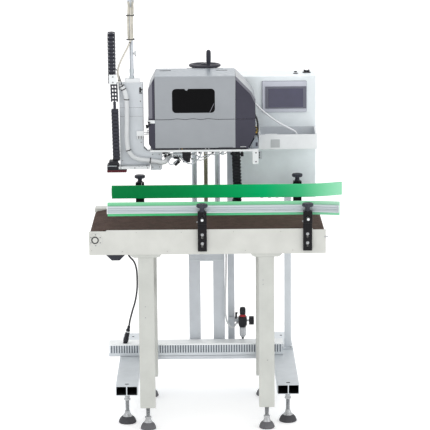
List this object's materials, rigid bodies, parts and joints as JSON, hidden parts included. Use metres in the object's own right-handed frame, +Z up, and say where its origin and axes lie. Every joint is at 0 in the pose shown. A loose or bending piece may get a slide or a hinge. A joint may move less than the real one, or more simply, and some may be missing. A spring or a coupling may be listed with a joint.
{
  "type": "print and apply labelling machine",
  "caption": "Print-and-apply labelling machine on a height-adjustable stand over a belt conveyor with side guides, control cabinet and touch screen",
  "frame": {"origin": "on the floor, at the centre of the machine's footprint box", "axes": "+Z up, +X along the belt to the infeed end at the operator's right, +Y from the operator to the mast and cabinet"},
  "size_m": [1.1005, 1.032, 1.83],
  "materials": {
    "cream_powder_coat": "warm off-white powder coat, satin",
    "white_powder_coat": "cool light grey-white powder coat, satin",
    "grey_powder_coat": "light grey-blue powder coat, satin",
    "mast_grey": "mid grey powder coat, satin",
    "carriage_aluminium": "grey anodised, satin",
    "printer_silver": "silver-grey paint, satin",
    "printer_slate": "dark slate paint, satin",
    "duct_pvc": "light grey plastic, matt",
    "black_plastic": "black moulded plastic, satin",
    "regulator_black": "black paint, satin",
    "smoked_window": "smoked plastic, gloss",
    "green_wear_strip": "green plastic on natural aluminium profile, satin",
    "belt_brown": "plum-brown belt, matt",
    "hard_chrome": "ground and chromed",
    "bronze_screw": "oiled screw, olive-brass tone",
    "zinc_steel": "zinc plated",
    "electronics": "mounting plate with drive and relay housings",
    "maroon_pad": "maroon sponge rubber, matt",
    "white_hose": "white hose and cable jacket, satin",
    "cream_cable": "cream cable jacket, satin",
    "bowl_plastic": "clear filter bowl, gloss",
    "label_paper": "label stock, matt",
    "platen_rubber": "black rubber, matt"
  },
  "bodies": {
    "frame": {"base_rail_left": "white_powder_coat", "base_rail_right": "white_powder_coat", "wiring_duct": "duct_pvc", "mast_frame": "mast_grey", "guide_rod_left": "hard_chrome", "guide_rod_right": "hard_chrome", "mast_head": "black_plastic", "cabinet_post_right": "mast_grey", "cabinet_shell": "grey_powder_coat", "electronics_panel": "electronics", "touch_screen": "white_powder_coat", "cable_tray": "white_powder_coat", "filter_regulator_body": "regulator_black", "filter_bowl": "bowl_plastic", "conveyor_beam_front": "cream_powder_coat", "conveyor_beam_rear": "cream_powder_coat", "slider_bed": "zinc_steel", "conveyor_belt": "belt_brown", "gearmotor": "regulator_black", "leg_frame_left": "cream_powder_coat", "leg_frame_right": "cream_powder_coat", "guide_bracket_front_left": "black_plastic", "guide_bracket_front_right": "black_plastic", "guide_bracket_rear_left": "black_plastic", "guide_bracket_rear_right": "black_plastic", "lift_chain": "black_plastic", "motor_cable": "black_plastic", "motor_cable_connector": "black_plastic", "air_hose": "white_hose", "data_cable": "white_hose"},
    "lift": {"lift_carriage": "carriage_aluminium", "printer_plate": "white_powder_coat", "printer_chassis": "printer_slate", "applicator_column": "grey_powder_coat", "air_cylinder": "hard_chrome", "applicator_chain": "black_plastic", "applicator_hose": "white_hose", "sensor_cable": "cream_cable", "valve_block": "black_plastic"},
    "screw": {"lead_screw": "bronze_screw", "handwheel": "black_plastic"},
    "lid": {"printer_lid": "printer_silver", "lid_window": "smoked_window"},
    "roll": {"label_roll": "label_paper"},
    "rewind": {"liner_rewind": "black_plastic"},
    "platen": {"platen_roller": "platen_rubber"},
    "tamp": {"tamp_head": "white_powder_coat", "tamp_pad": "maroon_pad"},
    "drive": {"drive_roller": "zinc_steel"},
    "tail": {"tail_roller": "zinc_steel"},
    "front_guide": {"guide_rail_front": "green_wear_strip"},
    "rear_guide": {"guide_rail_rear": "green_wear_strip"},
    "knob_front_left": {"clamp_knob_front_left": "black_plastic"},
    "knob_front_right": {"clamp_knob_front_right": "black_plastic"},
    "knob_rear_left": {"clamp_knob_rear_left": "black_plastic"},
    "knob_rear_right": {"clamp_knob_rear_right": "black_plastic"},
    "door": {"cabinet_door": "grey_powder_coat"},
    "regulator": {"regulator_knob": "black_plastic"},
    "rocker": {"mains_rocker": "black_plastic"},
    "button": {"start_button": "black_plastic"}
  },
  "joints": [
    {"name": "lift_slide", "type": "slide", "parent": "frame", "child": "lift", "axis": [0, 0, 1], "range_m": [-0.08, 0.1], "deforming": ["lift_chain", "data_cable"]},
    {"name": "screw_spin", "type": "hinge", "parent": "frame", "child": "screw", "pos_m": [-0.0543, 0.208, 1], "axis": [0, 0, 1], "range_deg": [-7201, 9001]},
    {"name": "lid_hinge", "type": "hinge", "parent": "lift", "child": "lid", "pos_m": [-0.0498, 0.128, 1.4897], "axis": [-1, 0, 0], "range_deg": [0, 75]},
    {"name": "label_roll_spin", "type": "hinge", "parent": "lift", "child": "roll", "pos_m": [0.0352, -0.054, 1.29], "axis": [0, 1, 0], "continuous": true},
    {"name": "liner_rewind_spin", "type": "hinge", "parent": "lift", "child": "rewind", "pos_m": [-0.1698, -0.054, 1.385], "axis": [0, 1, 0], "continuous": true},
    {"name": "platen_spin", "type": "hinge", "parent": "lift", "child": "platen", "pos_m": [-0.2548, -0.054, 1.235], "axis": [0, 1, 0], "continuous": true},
    {"name": "tamp_slide", "type": "slide", "parent": "lift", "child": "tamp", "axis": [0, 0, -1], "range_m": [0, 0.1], "deforming": ["applicator_chain"]},
    {"name": "drive_spin", "type": "hinge", "parent": "frame", "child": "drive", "pos_m": [-0.5238, -0.214, 0.843], "axis": [0, 1, 0], "continuous": true},
    {"name": "tail_spin", "type": "hinge", "parent": "frame", "child": "tail", "pos_m": [0.4242, -0.214, 0.843], "axis": [0, 1, 0], "continuous": true},
    {"name": "front_guide_slide", "type": "slide", "parent": "frame", "child": "front_guide", "axis": [0, 1, 0], "range_m": [0, 0.03]},
    {"name": "rear_guide_slide", "type": "slide", "parent": "frame", "child": "rear_guide", "axis": [0, -1, 0], "range_m": [0, 0.03]},
    {"name": "knob_front_left_turn", "type": "hinge", "parent": "frame", "child": "knob_front_left", "pos_m": [-0.0715, -0.47, 0.975], "axis": [0, 0, 1], "range_deg": [-180, 180]},
    {"name": "knob_front_right_turn", "type": "hinge", "parent": "frame", "child": "knob_front_right", "pos_m": [0.3727, -0.47, 0.975], "axis": [0, 0, 1], "range_deg": [-180, 180]},
    {"name": "knob_rear_left_turn", "type": "hinge", "parent": "frame", "child": "knob_rear_left", "pos_m": [-0.3498, 0.102, 0.999], "axis": [0, 0, 1], "range_deg": [-180, 180]},
    {"name": "knob_rear_right_turn", "type": "hinge", "parent": "frame", "child": "knob_rear_right", "pos_m": [0.3552, 0.102, 0.999], "axis": [0, 0, 1], "range_deg": [-180, 180]},
    {"name": "door_hinge", "type": "hinge", "parent": "frame", "child": "door", "pos_m": [0.4416, 0.384, 1.17], "axis": [0, 0, -1], "range_deg": [0, 110]},
    {"name": "regulator_turn", "type": "hinge", "parent": "frame", "child": "regulator", "pos_m": [0.1087, 0.186, 0.365], "axis": [0, 0, 1], "range_deg": [-180, 180]},
    {"name": "mains_rocker_tilt", "type": "hinge", "parent": "frame", "child": "rocker", "pos_m": [0.4062, 0.289, 1.4532], "axis": [0, 1, 0], "range_deg": [-9, 9]},
    {"name": "start_button_press", "type": "slide", "parent": "frame", "child": "button", "axis": [0, 0, -1], "range_m": [0, 0.003], "stiffness_N_per_m": 300}
  ],
  "couplings": [
    {"joint": "screw_spin", "follows": "lift_slide", "rad_per_m": 1570.8},
    {"joint": "tail_spin", "follows": "drive_spin", "ratio": 1},
    {"joint": "platen_spin", "follows": "label_roll_spin", "ratio": -6.538},
    {"joint": "liner_rewind_spin", "follows": "label_roll_spin", "ratio": 2.656}
  ]
}
